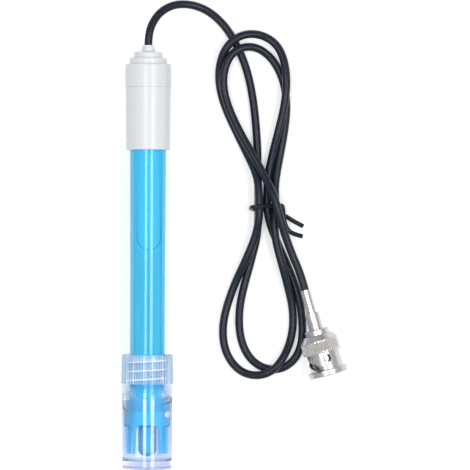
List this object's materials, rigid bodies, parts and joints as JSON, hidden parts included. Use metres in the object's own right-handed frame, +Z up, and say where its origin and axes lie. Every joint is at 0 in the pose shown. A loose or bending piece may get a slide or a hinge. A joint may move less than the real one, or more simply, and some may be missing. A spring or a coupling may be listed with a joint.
{
  "type": "ph electrode",
  "caption": "pH electrode with a slit tip guard, a screw-capped storage bottle on its tip, and a looped coaxial cable that ends in a bayonet plug.",
  "frame": {"origin": "on the surface that it lies on, below the middle of the electrode with its bottle", "axes": "+Y along the electrode towards its cable, +X towards the looped cable, +Z up"},
  "size_m": [0.0822, 0.1708, 0.0188],
  "materials": {
    "white_plastic": "satin moulded",
    "blue_body": "glossy, faintly see-through",
    "clear_bottle": "clear moulded",
    "cap_plastic": "frosted, reeded",
    "glass": "clear, fire polished",
    "buffer": "clear liquid",
    "gel": "soft, glossy",
    "silver": "drawn wire",
    "ceramic": "porous, matte",
    "seal_rubber": "matte",
    "black_jacket": "smooth, satin",
    "tie_black": "satin",
    "nickel": "nickel plated, bright",
    "spring_steel": "rolled",
    "ptfe": "waxy white",
    "gold": "gold plated, bright",
    "gasket_rubber": "matte"
  },
  "bodies": {
    "root": {"head_cover": "white_plastic", "head_sleeve": "white_plastic", "cable_gland": "white_plastic", "body_tube": "blue_body", "tip_guard": "blue_body", "glass_stem": "glass", "sensing_bulb": "glass", "inner_silver_wire": "silver", "buffer_fill": "buffer", "reference_gel": "gel", "reference_wire": "silver", "top_stopper": "seal_rubber", "stem_stopper": "seal_rubber", "lower_seal": "seal_rubber", "junction_ring": "ceramic", "core_splice": "silver", "shield_splice": "silver", "shield_lead": "silver", "cable": "black_jacket", "twist_tie": "tie_black", "crimp_ferrule": "nickel", "connector_body": "nickel", "outer_contact": "nickel", "insulator": "ptfe", "centre_pin": "gold", "front_gasket": "gasket_rubber", "retaining_ring": "spring_steel"},
    "bottle": {"vial": "clear_bottle"},
    "seal": {"seal_ring": "seal_rubber"},
    "cap": {"screw_cap": "cap_plastic"},
    "nut_washer": {"spring_washer": "spring_steel"},
    "nut": {"coupling_nut": "nickel"}
  },
  "joints": [
    {"name": "bottle_pull", "type": "slide", "parent": "root", "child": "bottle", "axis": [0, -1, 0], "range_m": [0, 0.06]},
    {"name": "cap_lift", "type": "slide", "parent": "bottle", "child": "seal", "axis": [0, 1, 0], "range_m": [0, 0.00801]},
    {"name": "cap_turn", "type": "hinge", "parent": "seal", "child": "cap", "pos_m": [0, -0.041, 0.00942], "axis": [0, 1, 0], "range_deg": [0, 900]},
    {"name": "nut_press", "type": "slide", "parent": "root", "child": "nut_washer", "axis": [0.274, -0.9617, 0], "range_m": [0, 0.0009], "stiffness_N_per_m": 1000},
    {"name": "nut_turn", "type": "hinge", "parent": "nut_washer", "child": "nut", "pos_m": [0.06401, -0.03546, 0.00713], "axis": [0.274, -0.9617, 0], "continuous": true}
  ],
  "couplings": [
    {"joint": "cap_lift", "follows": "cap_turn", "m_per_rad": 0.0005093}
  ]
}
